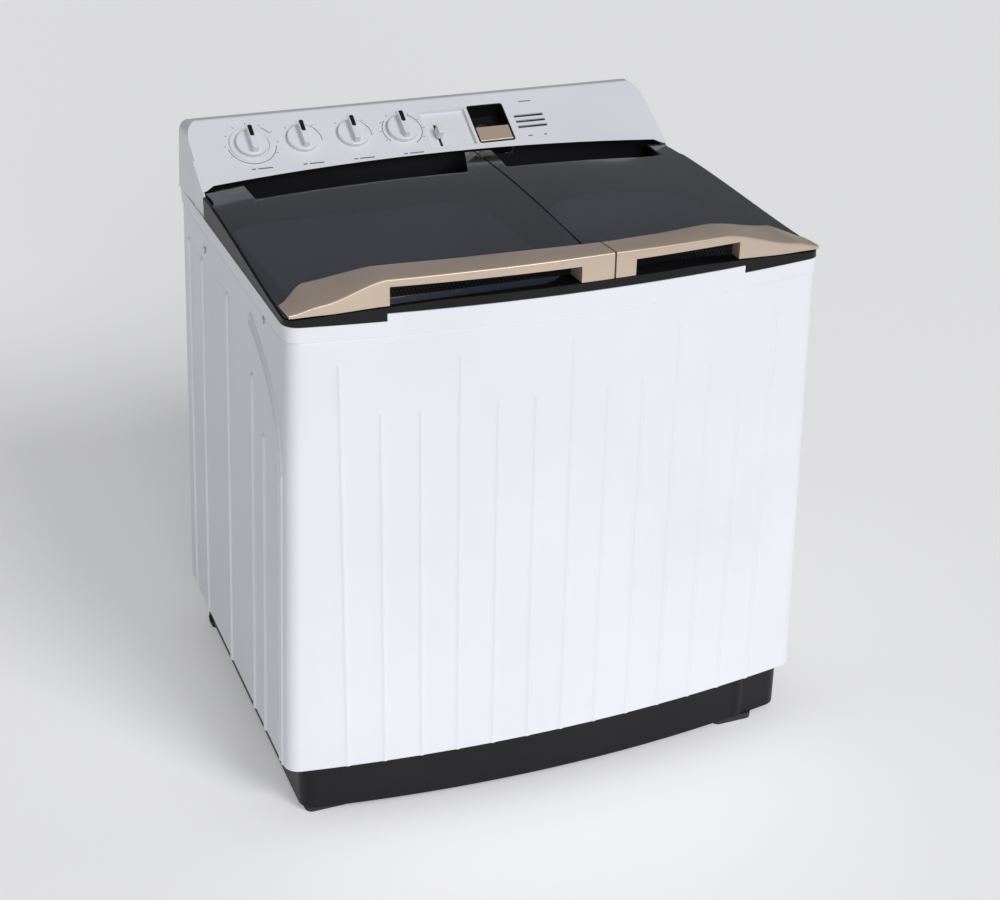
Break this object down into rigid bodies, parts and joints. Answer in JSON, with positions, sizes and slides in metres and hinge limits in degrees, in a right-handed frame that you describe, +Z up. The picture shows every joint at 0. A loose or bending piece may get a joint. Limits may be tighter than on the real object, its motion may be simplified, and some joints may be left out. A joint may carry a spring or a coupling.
{
  "type": "twin tub washer",
  "caption": "Twin tub washing machine: ribbed white cabinet on a dark plinth, smoked lids with gold grips over wash and spin tubs, and a sloping console with dials, lever and inlet.",
  "frame": {"origin": "on the floor, in the middle of the machine's overall length and depth", "axes": "+Z up; front faces -Y; +X to the machine's right as seen from the front, where the spin tub is"},
  "size_m": [0.946, 0.7492, 0.9934],
  "materials": {
    "white_plastic": "satin moulded",
    "zinc_sheet": "galvanised",
    "black_plastic": "fine grain",
    "smoked_plastic": "glossy smoked",
    "gold_paint": "metallic champagne",
    "rubber": "matte",
    "steel": "zinc plated",
    "motor_iron": "painted",
    "cast_aluminium": "as cast",
    "tub_plastic": "satin moulded",
    "grey_plastic": "moulded"
  },
  "bodies": {
    "machine": {"back_panel": "zinc_sheet", "bellows_seal": "rubber", "brake_pivot": "steel", "cabinet": "white_plastic", "console": "white_plastic", "console_pins": "steel", "cord_gland": "rubber", "drain_pipe": "grey_plastic", "drain_selector": "grey_plastic", "drain_valve": "grey_plastic", "feet": "rubber", "inlet_liner": "black_plastic", "lid_frame": "black_plastic", "lid_hinge_pins": "steel", "lint_filter_guide": "tub_plastic", "motor_mounts": "rubber", "plinth": "black_plastic", "screws": "steel", "selector_bezel": "white_plastic", "spin_motor": "motor_iron", "spin_timer": "grey_plastic", "spin_tub": "tub_plastic", "top_cover": "white_plastic", "wash_belt": "rubber", "wash_gearbox": "cast_aluminium", "wash_motor": "motor_iron", "wash_selector": "grey_plastic", "wash_shaft_seal": "rubber", "wash_timer": "grey_plastic", "wash_timer_dial_ring": "white_plastic", "wash_tub": "tub_plastic", "water_diverter": "grey_plastic"},
    "wash_lid": {"wash_lid": "smoked_plastic", "wash_lid_handle": "gold_paint", "wash_grip_liner": "black_plastic"},
    "spin_lid": {"spin_lid": "smoked_plastic", "spin_lid_handle": "gold_paint", "spin_grip_liner": "black_plastic"},
    "wash_timer_dial": {"wash_timer_knob": "white_plastic", "wash_timer_shaft": "steel"},
    "wash_selector_dial": {"wash_selector_knob": "white_plastic", "wash_selector_shaft": "steel"},
    "drain_selector_dial": {"drain_selector_knob": "white_plastic", "drain_selector_shaft": "steel"},
    "spin_timer_dial": {"spin_timer_knob": "white_plastic", "spin_timer_shaft": "steel"},
    "water_lever": {"selector_lever": "white_plastic"},
    "inlet_flap": {"inlet_flap": "gold_paint"},
    "pulsator": {"pulsator": "tub_plastic", "pulsator_screw": "steel", "wash_shaft": "steel", "wash_pulley": "cast_aluminium"},
    "wash_rotor": {"motor_pulley": "cast_aluminium", "wash_motor_shaft": "steel"},
    "spin_basket": {"spin_basket": "tub_plastic", "spin_shaft": "steel", "brake_drum": "motor_iron"},
    "brake_lever": {"brake_lever": "steel"},
    "lint_filter": {"lint_filter": "tub_plastic"}
  },
  "joints": [
    {"name": "wash_lid_hinge", "type": "hinge", "parent": "machine", "child": "wash_lid", "pos_m": [-0.195, 0.17, 0.889], "axis": [-1, 0, 0], "range_deg": [0, 90]},
    {"name": "spin_lid_hinge", "type": "hinge", "parent": "machine", "child": "spin_lid", "pos_m": [0.245, 0.17, 0.889], "axis": [-1, 0, 0], "range_deg": [0, 90]},
    {"name": "wash_timer_turn", "type": "hinge", "parent": "machine", "child": "wash_timer_dial", "pos_m": [-0.326, 0.26864, 0.95854], "axis": [0, 0.5505, -0.8348], "range_deg": [0, 300]},
    {"name": "wash_selector_turn", "type": "hinge", "parent": "machine", "child": "wash_selector_dial", "pos_m": [-0.2347, 0.26864, 0.95854], "axis": [0, 0.5505, -0.8348], "range_deg": [-60, 60]},
    {"name": "drain_selector_turn", "type": "hinge", "parent": "machine", "child": "drain_selector_dial", "pos_m": [-0.1434, 0.26864, 0.95854], "axis": [0, 0.5505, -0.8348], "range_deg": [-60, 60]},
    {"name": "spin_timer_turn", "type": "hinge", "parent": "machine", "child": "spin_timer_dial", "pos_m": [-0.052, 0.26864, 0.95854], "axis": [0, 0.5505, -0.8348], "range_deg": [0, 300]},
    {"name": "water_lever_tilt", "type": "hinge", "parent": "machine", "child": "water_lever", "pos_m": [0.012, 0.27069, 0.92636], "axis": [1, 0, 0], "range_deg": [-17, 17]},
    {"name": "inlet_flap_hinge", "type": "hinge", "parent": "machine", "child": "inlet_flap", "pos_m": [0.11525, 0.23528, 0.93392], "axis": [1, 0, 0], "range_deg": [0, 95]},
    {"name": "pulsator_spin", "type": "hinge", "parent": "machine", "child": "pulsator", "pos_m": [-0.195, -0.09, 0.4], "axis": [0, 0, 1], "continuous": true},
    {"name": "wash_motor_spin", "type": "hinge", "parent": "machine", "child": "wash_rotor", "pos_m": [-0.33, -0.09, 0.25], "axis": [0, 0, 1], "continuous": true},
    {"name": "spin_basket_spin", "type": "hinge", "parent": "machine", "child": "spin_basket", "pos_m": [0.245, -0.06, 0.4], "axis": [0, 0, 1], "continuous": true},
    {"name": "brake_lever_turn", "type": "hinge", "parent": "machine", "child": "brake_lever", "pos_m": [0.34, -0.05, 0.253], "axis": [0, 0, -1], "range_deg": [0, 8]},
    {"name": "lint_filter_lift", "type": "slide", "parent": "machine", "child": "lint_filter", "axis": [0, 0, 1], "range_m": [0, 0.12]}
  ],
  "couplings": [
    {"joint": "wash_motor_spin", "follows": "pulsator_spin", "ratio": 6.2143},
    {"joint": "brake_lever_turn", "follows": "spin_lid_hinge", "ratio": 0.088889}
  ]
}
